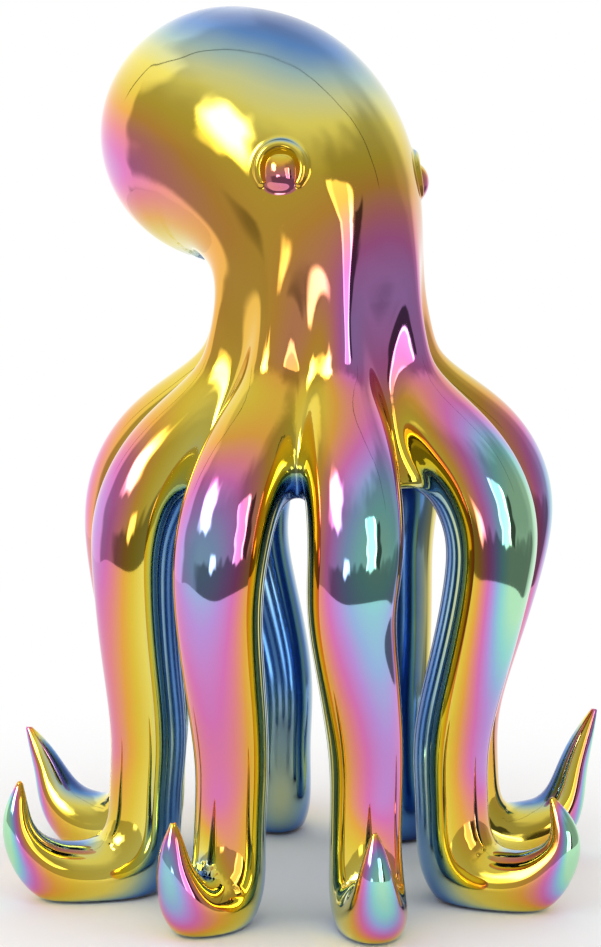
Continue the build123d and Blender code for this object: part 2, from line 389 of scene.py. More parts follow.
def arm_sweep(stance: Stance) -> Sweep:
    """Centre line and sections of one arm.

    Args:
        stance: The arm's numbers.

    Returns:
        The arm as a swept field.
    """
    s = stance
    rows = [(s.shoulder_bearing, ROOT_REACH + share * (s.shoulder_reach - ROOT_REACH), z, t, w)
            for share, z, t, w in CREST_ROWS + ROOT_ROWS]
    rows += [(s.shoulder_bearing + share * (s.ankle_bearing - s.shoulder_bearing),
              s.shoulder_reach + share * (s.ankle_reach - s.shoulder_reach), z, t, w)
             for share, z, t, w in SHIN_ROWS]
    rows += [(s.ankle_bearing + share * (s.toe_bearing - s.ankle_bearing),
              s.ankle_reach + share * (s.toe_reach - s.ankle_reach), z, t, w)
             for share, z, t, w in FOOT_ROWS]
    base = FOOT_ROWS[-1][1]
    rows += [(s.toe_bearing, s.ankle_reach + share * (s.toe_reach - s.ankle_reach) + lean * s.tip_lean,
              base + rise * (s.tip_height - base), t, w)
             for share, lean, rise, t, w in TOE_ROWS]
    bearing, reach, height, thick, wide = np.array(rows, float).T
    bearing = np.radians(bearing)
    flat = np.zeros_like(bearing)
    points = axis_at(height) + reach[:, None] * np.stack([np.sin(bearing), -np.cos(bearing), flat], -1)
    lateral = np.stack([np.cos(bearing), np.sin(bearing), flat], -1)
    return Sweep(points, np.stack([thick, wide], -1), lateral)


def crease_point() -> Array:
    """The line behind the neck about which the head's sections turn."""
    return axis_at(np.array(NECK_HEIGHT)) + np.array([0.0, CREASE, 0.0])


def body_sweep() -> Sweep:
    """Collar, head and mantle as one swept field."""
    points = [axis_at(np.array(height)) for height, _ in COLLAR_ROWS]
    halves = [(radius, radius) for _, radius in COLLAR_ROWS]
    for angle, away, deep, wide in HEAD_ROWS:
        turn = math.radians(angle)
        points.append(crease_point() + away * np.array([0.0, -math.cos(turn), math.sin(turn)]))
        halves.append((deep, wide))
    lateral = np.tile([1.0, 0.0, 0.0], (len(points), 1))
    return Sweep(np.stack(points), np.array(halves), lateral)


class Skin:
    """The whole plated surface as one smooth field, with the seams between its castings."""

    ARM_FILLET = 12.0
    FAR = 500.0

    def __init__(self) -> None:
        """Lays out the sweeps."""
        self.body = body_sweep()
        self.arms = [arm_sweep(stance) for stance in STANCES]
        self.dish = (BELLY_RADIUS ** 2 + BELLY_RISE ** 2) / (2.0 * BELLY_RISE)
        middle = axis_at(np.array(RIM_HEIGHT))
        self.dish_middle = middle + np.array([0.0, 0.0, BELLY_RISE - self.dish])

    def trunk(self, points: Array, slopes: bool) -> Probe:
        """Field of collar, head and mantle, with the dished underside.

        Args:
            points: Points in millimetres.
            slopes: Whether the gradient is wanted.

        Returns:
            The field and its gradient, far away where the trunk is out of reach.
        """
        value, slope = np.full(len(points), self.FAR), np.zeros((len(points), 3))
        near = self.body.near(points)
        if len(near):
            spots = points[near]
            gap = spots - self.dish_middle
            off = np.linalg.norm(gap, axis=1)
            dish = self.dish - off, -gap / off[:, None]
            tube = trim(self.body.probe(spots, slopes), floor_field(spots, RIM_HEIGHT), RIM_ROUND)
            value[near], slope[near] = trim(tube, dish, BELLY_ROUND)
        return value, slope

    def probe(self, points: Array, slopes: bool = True) -> Probe:
        """Field of the whole surface and its gradient.

        Args:
            points: Points in millimetres.
            slopes: Whether the gradient is wanted.

        Returns:
            The field, and one gradient row per point.
        """
        value, slope = self.trunk(points, slopes)
        for arm in self.arms:
            near = arm.near(points)
            if len(near):
                value[near], slope[near] = join((value[near], slope[near]),
                                                arm.probe(points[near], slopes), self.ARM_FILLET)
        return trim((value, slope), floor_field(points, SOLE_HEIGHT), SOLE_ROUND)

    def owner(self, points: Array) -> Array:
        """Which casting each point of the surface belongs to.

        Args:
            points: Points on the surface.

        Returns:
            Numbers of Piece, the arms counted on from FIRST_ARM.
        """
        gap = points - crease_point()
        turn = np.degrees(np.arctan2(gap[:, 2], -gap[:, 1]))
        label = np.where(turn > SEAM_ANGLE, Piece.MANTLE.value, Piece.HEAD.value)
        label = np.where(points[:, 2] < NECK_HEIGHT, Piece.COLLAR.value, label)
        off_axis = np.linalg.norm((points - axis_at(points[:, 2]))[:, :2], axis=1)
        off_level = np.abs(points[:, 2] - RIM_HEIGHT - BELLY_SEAM_RISE)
        under = (off_axis < BELLY_SEAM_RADIUS) & (off_level < BELLY_SEAM_SPAN)
        fields = np.full((len(self.arms), len(points)), self.FAR)
        below = np.zeros(fields.shape, bool)
        for number, arm in enumerate(self.arms):
            near = arm.near(points)
            fields[number, near] = arm.probe(points[near], False)[0]
            cut = np.argmax(arm.centre[:, 2] < ARM_CUT_HEIGHT)
            below[number, near] = arm.nearest(points[near]) > cut
        closest = fields.argmin(0)
        first, second = np.sort(fields, 0)[:2]
        own = below[closest, np.arange(len(points))] & (second - first > WEB)
        own &= first < self.trunk(points, False)[0] - COLLAR_LAP
        label = np.where(own, Piece.FIRST_ARM.value + closest, label)
        return np.where(under & ~own, Piece.BELLY.value, label)


@dataclass
class Net:
    """Quads on the zero level of a field, found on a grid only where the surface runs."""

    skin: Skin
    low: Array
    high: Array
    cell: float

    def nodes(self) -> tuple[Array, Array]:
        """Narrows down to the grid nodes beside the surface.

        Returns:
            Known mask and values on the whole grid.
        """
        shape = (np.ceil((self.high - self.low) / self.cell / 8).astype(int) + 1) * 8 + 1
        known, values = np.zeros(shape, bool), np.zeros(shape)
        want, stride = np.zeros(shape, bool), 8
        want[::stride, ::stride, ::stride] = True
        while want.any():
            spots = np.argwhere(want)
            found = self.skin.probe(self.low + spots * self.cell, False)[0]
            if stride == 1:
                known[tuple(spots.T)] = True
                values[tuple(spots.T)] = found
                want = self.missing(known, values < 0.0)
                continue
            spots = spots[np.abs(found) < stride * self.cell * 0.95]
            stride //= 2
            want[:] = False
            for offset in np.ndindex(3, 3, 3):
                moved = spots + (np.array(offset) - 1) * stride
                want[tuple(np.clip(moved, 0, shape - 1).T)] = True
        self.untangle(known, values)
        return known, values

    @staticmethod
    def untangle(known: Array, values: Array) -> None:
        """Turns the sign of the weakest node where two sheets would meet on one edge.

        Args:
            known: Nodes that were measured.
            values: Their values, changed in place.
        """
        for axis in (0, 1, 2) * 3:
            one, two = np.eye(3, dtype=int)[(axis + 1) % 3], np.eye(3, dtype=int)[(axis + 2) % 3]
            size = np.array(known.shape) - one - two
            ring = [tuple(slice(c[a], c[a] + size[a]) for a in range(3))
                    for c in (0 * one, one, one + two, two)]
            a, b, c, d = ((values[w] < 0.0) for w in ring)
            odd = (a == c) & (b == d) & (a != b)
            for w in ring:
                odd &= known[w]
            for spot in np.argwhere(odd):
                corners = [tuple(spot + c) for c in (0 * one, one, one + two, two)]
                weak = min(corners, key=lambda at: abs(values[at]))
                values[weak] = -values[weak]

    @staticmethod
    def missing(known: Array, inside: Array) -> Array:
        """Nodes still to be measured in the cells round every crossed grid edge.

        Args:
            known: Nodes that were measured.
            inside: Sign of each node.

        Returns:
            Mask of the nodes to measure next.
        """
        want = np.zeros_like(known)
        for axis in range(3):
            head, tail = [slice(None)] * 3, [slice(None)] * 3
            head[axis], tail[axis] = slice(1, None), slice(None, -1)
            both = known[tuple(head)] & known[tuple(tail)]
            cross = np.argwhere(both & (inside[tuple(head)] != inside[tuple(tail)]))
            reach = [(-1, 0, 1)] * 3
            reach[axis] = (0, 1)
            for offset in ((i, j, k) for i in reach[0] for j in reach[1] for k in reach[2]):
                want[tuple((cross + np.array(offset)).T)] = True
        return want & ~known

    def build(self) -> tuple[Array, Array]:
        """Runs the net.

        Returns:
            Vertices in millimetres and quads of vertex numbers, outward.
        """
        known, values = self.nodes()
        inside = values < 0.0
        corners = np.array([[i, j, k] for i in (0, 1) for j in (0, 1) for k in (0, 1)])
        size = np.array(known.shape) - 1
        window = [tuple(slice(c[a], c[a] + size[a]) for a in range(3)) for c in corners]
        full = np.logical_and.reduce([known[w] for w in window])
        count = sum(inside[w].astype(np.int8) for w in window)
        active = full & (count > 0) & (count < 8)
        cells = np.argwhere(active)
        number = np.full(active.shape, -1)
        number[tuple(cells.T)] = np.arange(len(cells))
        total, hits = np.zeros((len(cells), 3)), np.zeros(len(cells))
        for i, a in enumerate(corners):
            for b in corners[i + 1:]:
                if np.abs(a - b).sum() != 1:
                    continue
                va, vb = values[tuple((cells + a).T)], values[tuple((cells + b).T)]
                cross = (va < 0.0) != (vb < 0.0)
                share = np.where(cross, va / np.where(cross, va - vb, 1.0), 0.0)
                total += np.where(cross[:, None], cells + a + share[:, None] * (b - a), 0.0)
                hits += cross
        points = self.low + total / hits[:, None] * self.cell
        return points, self.quads(inside, known, number)

    @staticmethod
    def quads(inside: Array, known: Array, number: Array) -> Array:
        """Joins the four cells round every crossed grid edge.

        Args:
            inside: Sign of each node.
            known: Nodes that were measured.
            number: Vertex number of each cell, or -1.

        Returns:
            Quads, outward.
        """
        found = []
        for axis in range(3):
            one, two = (axis + 1) % 3, (axis + 2) % 3
            head = [slice(None)] * 3
            tail = [slice(None)] * 3
            head[axis], tail[axis] = slice(1, None), slice(None, -1)
            a, b = inside[tuple(tail)], inside[tuple(head)]
            cross = np.argwhere((a != b) & known[tuple(tail)] & known[tuple(head)])
            cross = cross[(cross[:, one] > 0) & (cross[:, two] > 0)]
            step_one, step_two = np.eye(3, dtype=int)[one], np.eye(3, dtype=int)[two]
            ring = np.stack([number[tuple((cross - s).T)] for s in
                             (step_one + step_two, step_two, 0 * step_one, step_one)], -1)
            flip = inside[tuple((cross + np.eye(3, dtype=int)[axis]).T)]
            found.append(np.where(flip[:, None], ring[:, ::-1], ring))
        quads = np.concatenate(found)
        return quads[(quads >= 0).all(1)]

    @staticmethod
    def even(values: Array, quads: Array, rounds: int = 10) -> Array:
        """Spreads values along the surface.

        Args:
            values: One value per vertex.
            quads: Quads of the mesh.
            rounds: Rounds of averaging with the neighbours.

        Returns:
            The softened values.
        """
        edges = quad_edges(quads)
        degree = np.bincount(edges[:, 0], minlength=len(values))
        for _ in range(rounds):
            values = np.bincount(edges[:, 0], values[edges[:, 1]], len(values)) / degree
        return values

    def settle(self, points: Array, quads: Array, rounds: int = 2) -> Probe:
        """Evens the mesh out along the surface and lays it exactly on the zero level.

        Args:
            points: Vertices from build().
            quads: Their quads.
            rounds: Rounds of evening and laying.

        Returns:
            Vertices and unit normals.
        """
        edges = quad_edges(quads)
        degree = np.bincount(edges[:, 0], minlength=len(points))[:, None]
        for turn in range(rounds + 1):
            value, slope = self.skin.probe(points)
            points = points - np.clip(value / (slope ** 2).sum(1), -1.0, 1.0)[:, None] * slope
            if turn == rounds:
                break
            normal = unit(slope)
            for _ in range(3):
                mean = np.stack([np.bincount(edges[:, 0], points[edges[:, 1], c], len(points))
                                 for c in range(3)], -1) / degree
                move = 0.5 * (mean - points)
                points = points + move - normal * (move * normal).sum(1)[:, None]
        return points, unit(self.skin.probe(points)[1])


class Film:
    """Thickness of the plating: what reaches each spot of the piece as it turns among the sources."""

    AZIMUTHS = 24
    STEPS = (5.0, 9.0, 15.0, 24.0, 38.0, 60.0, 95.0)
    SOURCE, POWER, YIELD = 210.0, 1.8, 0.31
    LEVEL, SPREAD = 130.0, 360.0
    LIFT, DROP_FROM, DROP = 0.08, 190.0, 600.0
    GRID = 5.0
    # Sources that stand still: place, distance at which the strength is reached, strength.
    # A holder that kept the film off has a strength below zero.
    FIXED = (((10.0, -154.0, 268.0), 95.0, 0.22), ((-148.0, 52.0, 286.0), 95.0, 0.17),
             ((30.0, -190.0, 120.0), 95.0, 0.20), ((-44.0, -92.0, 258.0), 43.0, 0.08),
             ((60.0, -100.0, 415.0), 95.0, -0.06),
             ((0.0, 25.0, 560.0), 182.0, 0.10), ((-3.0, -3.0, 5.0), 60.0, 0.14))

    def __init__(self, skin: Skin, low: Array, high: Array) -> None:
        """Measures the field on a coarse grid.

        Args:
            skin: The surface.
            low: Lowest corner of the grid.
            high: Highest corner of the grid.
        """
        self.low = low
        shape = np.ceil((high - low) / self.GRID).astype(int) + 1
        spots = np.stack(np.meshgrid(*[np.arange(n) for n in shape], indexing="ij"), -1).reshape(-1, 3)
        self.grid = skin.probe(low + spots * self.GRID, False)[0].reshape(shape).astype(np.float32)

    def clear(self, points: Array) -> Array:
        """Distance to the surface, from the grid, far away outside it.

        Args:
            points: Points in millimetres.

        Returns:
            The interpolated field.
        """
        spot = (points - self.low) / self.GRID
        fits = ((spot >= 0.0) & (spot < np.array(self.grid.shape) - 1.001)).all(1)
        spot = np.where(fits[:, None], spot, 0.0)
        base = spot.astype(int)
        share, value = spot - base, np.zeros(len(points))
        for corner in np.ndindex(2, 2, 2):
            weight = np.prod(np.where(corner, share, 1.0 - share), 1)
            value += weight * self.grid[tuple((base + corner).T)]
        return np.where(fits, value, Skin.FAR)

    def reached(self, points: Array, normals: Array, rays: Array) -> Array:
        """Share of a source that each spot receives.

        Args:
            points: Points of the surface.
            normals: Their unit normals.
            rays: Unit directions to the source.

        Returns:
            Slant of the surface towards the source times its softened view of it.
        """
        facing = (normals * rays).sum(1)
        lit = np.flatnonzero(facing > 0.0)
        start, view = points[lit] + 2.0 * normals[lit], np.ones(len(lit))
        for step in self.STEPS:
            view = np.minimum(view, self.clear(start + rays[lit] * step) * 2.5 / step + 0.15)
        facing[lit] *= np.clip(view, 0.0, 1.0)
        return np.maximum(facing, 0.0)

    def thickness(self, points: Array, normals: Array) -> Array:
        """Thickness of the film.

        Args:
            points: Points of the surface.
            normals: Their unit normals.

        Returns:
            Relative thickness, near 1 on an open wall that stands far out.
        """
        height = points[:, 2]
        rise = self.LIFT - np.maximum(height - self.DROP_FROM, 0.0) / self.DROP
        total = np.zeros(len(points))
        for turn in np.arange(self.AZIMUTHS) * math.tau / self.AZIMUTHS:
            level = np.array([math.cos(turn), math.sin(turn)])
            rays = np.concatenate([np.cos(rise)[:, None] * level, np.sin(rise)[:, None]], 1)
            gap = self.SOURCE - (points[:, :2] - (AXIS_X, AXIS_Y)) @ level
            total += self.reached(points, normals, rays) * (self.SOURCE / gap) ** self.POWER
        total *= self.YIELD * math.pi / self.AZIMUTHS
        total /= 1.0 + (np.abs(height - self.LEVEL) / self.SPREAD) ** 4
        for place, away, strength in self.FIXED:
            rays = np.array(place) - points
            gap = np.linalg.norm(rays, axis=1)
            total += strength * self.reached(points, normals, rays / gap[:, None]) * (away / gap) ** 3
        return np.maximum(total, 0.0)


def make_object(name: str, points: Array, faces: Sequence,
                normals: Array | None = None) -> bpy.types.Object:
    """Makes a mesh object at the origin.

    Args:
        name: Name of the object.
        points: Vertices in millimetres.
        faces: Vertex numbers of each face, outward.
        normals: Shading normals, one per vertex, if they are known.

    Returns:
        The linked object.
    """
    mesh = bpy.data.meshes.new(name)
    mesh.from_pydata((points * MM).tolist(), [], [list(f) for f in faces])
    mesh.shade_smooth()
    if normals is not None:
        mesh.normals_split_custom_set_from_vertices(normals.tolist())
    made = bpy.data.objects.new(name, mesh)
    bpy.context.scene.collection.objects.link(made)
    return made


def add_attribute(made: bpy.types.Object, name: str, values: Array) -> None:
    """Stores one number per vertex under a name that the finishes read."""
    attribute = made.data.attributes.new(name, "FLOAT", "POINT")
    attribute.data.foreach_set("value", values.astype(np.float32))


def put_on_frame(made: bpy.types.Object, node: str) -> None:
    """Fixes a finished piece to the frame.

    Args:
        made: The piece.
        node: The CAD node that it stands for.
    """
    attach(made, "root")
    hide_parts(node)


def close_patch(points: Array, quads: Array, label: Array, own: int) -> tuple[Array, list, Array]:
    """Cuts one casting out of the skin and closes it at its seams.

    Args:
        points: Vertices of the skin.
        quads: Quads of the skin.
        label: Casting of each quad.
        own: The casting to cut out.

    Returns:
        Vertices, faces, and the skin vertex that each vertex came from (-1 for a seam's middle).
    """
    edges = quad_edges(quads)
    face = np.tile(np.arange(len(quads)), 4)
    key = edges.min(1) * len(points) + edges.max(1)
    order = np.argsort(key, kind="stable")
    pairs = order.reshape(-1, 2)
    mate = np.empty_like(face)
    mate[pairs[:, 0]], mate[pairs[:, 1]] = face[pairs[:, 1]], face[pairs[:, 0]]
    mine = label[face] == own
    seam = mine & (label[mate] != own)
    used = np.unique(quads[label == own])
    number = np.full(len(points), -1)
    number[used] = np.arange(len(used))
    out_points, faces = [points[used]], number[quads[label == own]].tolist()
    source, count = [used], len(used)
    for other in np.unique(label[mate[seam]]):
        rim = edges[seam & (label[mate] == other)]
        out_points.append(points[np.unique(rim)].mean(0)[None])
        faces += [(b, a, count) for a, b in number[rim]]
        source.append(np.array([-1]))
        count += 1
    return np.concatenate(out_points), faces, np.concatenate(source)


class Sock:
    """A shader socket that takes part in arithmetic."""

    def __init__(self, graph: "Graph", socket: bpy.types.NodeSocket) -> None:
        """Wraps an output socket of a graph."""
        self.graph, self.socket = graph, socket

    def __add__(self, other: "Sock | float") -> "Sock":
        """Sum."""
        return self.graph.math("ADD", self, other)

    def __radd__(self, other: float) -> "Sock":
        """Sum, reflected."""
        return self.graph.math("ADD", other, self)

    def __sub__(self, other: "Sock | float") -> "Sock":
        """Difference."""
        return self.graph.math("SUBTRACT", self, other)

    def __rsub__(self, other: float) -> "Sock":
        """Difference, reflected."""
        return self.graph.math("SUBTRACT", other, self)

    def __mul__(self, other: "Sock | float") -> "Sock":
        """Product."""
        return self.graph.math("MULTIPLY", self, other)

    def __rmul__(self, other: float) -> "Sock":
        """Product, reflected."""
        return self.graph.math("MULTIPLY", other, self)

    def __truediv__(self, other: "Sock | float") -> "Sock":
        """Quotient."""
        return self.graph.math("DIVIDE", self, other)

    def __rtruediv__(self, other: float) -> "Sock":
        """Quotient, reflected."""
        return self.graph.math("DIVIDE", other, self)

    def rise(self, start: float, end: float) -> "Sock":
        """Smooth step from 0 at start to 1 at end.

        Args:
            start: Value where the step begins.
            end: Value where it is complete.

        Returns:
            The step.
        """
        made = self.graph.node("ShaderNodeMapRange", {"interpolation_type": "SMOOTHSTEP"},
                               {"Value": self, "From Min": start, "From Max": end})
        return made["Result"]

    def between(self, start: float, end: float, edge: float) -> "Sock":
        """Soft window, 1 between two values.

        Args:
            start: Lower bound.
            end: Upper bound.
            edge: Width of the soft edges.

        Returns:
            The window.
        """
        return self.rise(start - edge, start + edge) * (1.0 - self.rise(end - edge, end + edge))

    def mix(self, low: "Sock | Sequence[float]", high: "Sock | Sequence[float]") -> "Sock":
        """Colour between two others, with this socket as the share.

        Args:
            low: Colour at 0.
            high: Colour at 1.

        Returns:
            The mixed colour.
        """
        made = self.graph.node("ShaderNodeMix", {"data_type": "RGBA"}, {0: self, 6: low, 7: high})
        return made[2]


class Outputs:
    """Output sockets of one node, by name or number."""

    def __init__(self, graph: "Graph", node: bpy.types.Node) -> None:
        """Keeps the node."""
        self.graph, self.node = graph, node

    def __getitem__(self, key: str | int) -> Sock:
        """The wrapped output."""
        return Sock(self.graph, self.node.outputs[key])


class Graph:
    """A node tree that is filled by one method."""

    def __init__(self, tree: bpy.types.NodeTree) -> None:
        """Empties the tree."""
        self.tree = tree
        tree.nodes.clear()

    def node(self, kind: str, settings: dict | None = None, inputs: dict | None = None) -> Outputs:
        """Adds any node.

        Args:
            kind: Node type.
            settings: Properties to set on the node.
            inputs: Values or sockets, by input name or number.

        Returns:
            The node's outputs.
        """
        made = self.tree.nodes.new(kind)
        for key, value in (settings or {}).items():
            setattr(made, key, value)
        for key, value in (inputs or {}).items():
            target = made.inputs[key]
            several = value if isinstance(value, list) else [value]
            if isinstance(several[0], Sock):
                for one in several:
                    self.tree.links.new(one.socket, target)
            elif isinstance(value, tuple) and len(target.default_value) == 4:
                target.default_value = (*value[:3], 1.0)
            else:
                target.default_value = value
        return Outputs(self, made)

    def math(self, operation: str, a: Sock | float, b: Sock | float) -> Sock:
        """One math node."""
        return self.node("ShaderNodeMath", {"operation": operation}, {0: a, 1: b})["Value"]

    def noise(self, where: Sock, scale: float, detail: float) -> Sock:
        """Noise texture with a value from 0 to 1."""
        inputs = {"Vector": where, "Scale": scale, "Detail": detail}
        return self.node("ShaderNodeTexNoise", None, inputs)["Fac"]

    def ramp(self, share: Sock, stops: Sequence[tuple[float, Sequence[float]]]) -> Sock:
        """Colour ramp.

        Args:
            share: Place on the ramp.
            stops: Places and linear colours.

        Returns:
            The colour.
        """
        made = self.node("ShaderNodeValToRGB", None, {"Fac": share})
        elements = made.node.color_ramp.elements
        while len(elements) < len(stops):
            elements.new(0.5)
        for element, (place, _) in zip(elements, stops):
            element.position = place
        for element, (_, colour) in zip(elements, stops):
            element.color = (*colour, 1.0)
        return made["Color"]


def linear(red: int, green: int, blue: int) -> tuple[float, float, float]:
    """Linear colour from screen values of 0 to 255."""
    return tuple(((v / 255 + 0.055) / 1.055) ** 2.4 if v > 10 else v / 255 / 12.92
                 for v in (red, green, blue))


def new_material(name: str) -> tuple[bpy.types.Material, Graph]:
    """A material with an empty node tree, and the graph that fills it."""
    made = bpy.data.materials.new(name)
    made.use_nodes = True
    return made, Graph(made.node_tree)


@dataclass(frozen=True)
class Plating:
    """Interference plating on glaze. The stops run from a bare inside to a thick film; the near-black navy
    end is partly painted shade on the inner faces between the arms.
    """

    name: str
    stops: tuple[tuple[float, tuple[int, int, int]], ...]
    extra: float = 0.0
    polished: float = 0.045
    shaded: float = 0.20
    wave: float = 0.00008

    def make(self) -> bpy.types.Material:
        """Builds the material.

        Returns:
            The material, which reads the film attribute.
        """
        made, graph = new_material(self.name)
        where = graph.node("ShaderNodeTexCoord")["Object"]
        cloud = graph.noise(where, 26.0, 2.0) - 0.5
        film = graph.node("ShaderNodeAttribute", {"attribute_name": "film"})["Fac"] + self.extra
        film = film + cloud * 0.05
        # The ramp's darkest stops paint shade where the film is thinnest, between the arms.
        colour = graph.ramp(film, [(place, linear(*rgb)) for place, rgb in self.stops])
        dull = 1.0 - film.rise(0.04, 0.2)
        height = (graph.noise(where, 38.0, 0.5) + graph.noise(where, 120.0, 0.0) * 0.08) * self.wave
        bump = graph.node("ShaderNodeBump", None, {"Strength": 1.0, "Distance": 1.0, "Height": height})
        shader = graph.node("ShaderNodeBsdfPrincipled", None, {
            "Base Color": colour, "Metallic": 1.0, "Roughness": dull * self.shaded + self.polished,
            "Normal": bump["Normal"], "Coat Weight": 0.25, "Coat Roughness": 0.03})
        graph.node("ShaderNodeOutputMaterial", None, {"Surface": shader["BSDF"]})
        return made


# Film colours by thickness. The two darkest stops, near-black navy, are partly painted shade where the arms
# face each other.
RAINBOW_AND_PAINTED_SHADE = (
    (0.00, (6, 9, 36)), (0.05, (18, 44, 124)), (0.11, (84, 136, 198)), (0.17, (164, 192, 186)),
    (0.23, (212, 214, 150)), (0.30, (232, 216, 94)), (0.42, (224, 192, 56)), (0.51, (228, 164, 64)),
    (0.60, (226, 132, 134)), (0.67, (214, 114, 180)), (0.75, (186, 142, 214)), (0.82, (150, 178, 222)),
    (0.90, (142, 214, 208)), (1.00, (176, 230, 186)))
PLATING = Plating("Rainbow plating", RAINBOW_AND_PAINTED_SHADE)
EYE_PLATING = Plating("Rainbow plating, eye", RAINBOW_AND_PAINTED_SHADE, extra=0.14, wave=0.00002)


@dataclass
class Castings:
    """Mantle, head, collar, belly plate and arms, cut from one plated skin."""

    skin: Skin
    film: Film
    cell: float = 1.6
    made: dict[str, bpy.types.Object] = field(default_factory=dict)

    def build(self) -> None:
        """Nets the skin, splits it at the seams and puts each casting on the frame."""
        net = Net(self.skin, *ROOM, self.cell)
        points, quads = net.build()
        points, normals = net.settle(points, quads)
        film = net.even(self.film.thickness(points, normals), quads)
        label = self.skin.owner(points[quads].mean(1))
        names = ["mantle", "head", "collar", "belly_plate"] + ["arm_" + s.name for s in STANCES]
        for number, name in enumerate(names):
            spots, faces, source = close_patch(points, quads, label, number)
            inner = source < 0
            shade = np.where(inner[:, None], [0.0, 0.0, 1.0], normals[source])
            made = make_object("skin_" + name, spots, faces, shade)
            add_attribute(made, "film", np.where(inner, 0.0, film[source]))
            put_on_frame(made, name)
            self.made[name] = made
        LOG.info("%d castings, %d faces", len(self.made), len(quads))

    def dress(self, finish: bpy.types.Material) -> None:
        """Gives every casting the plating.

        Args:
            finish: The plating.
        """
        for made in self.made.values():
            made.data.materials.append(finish)


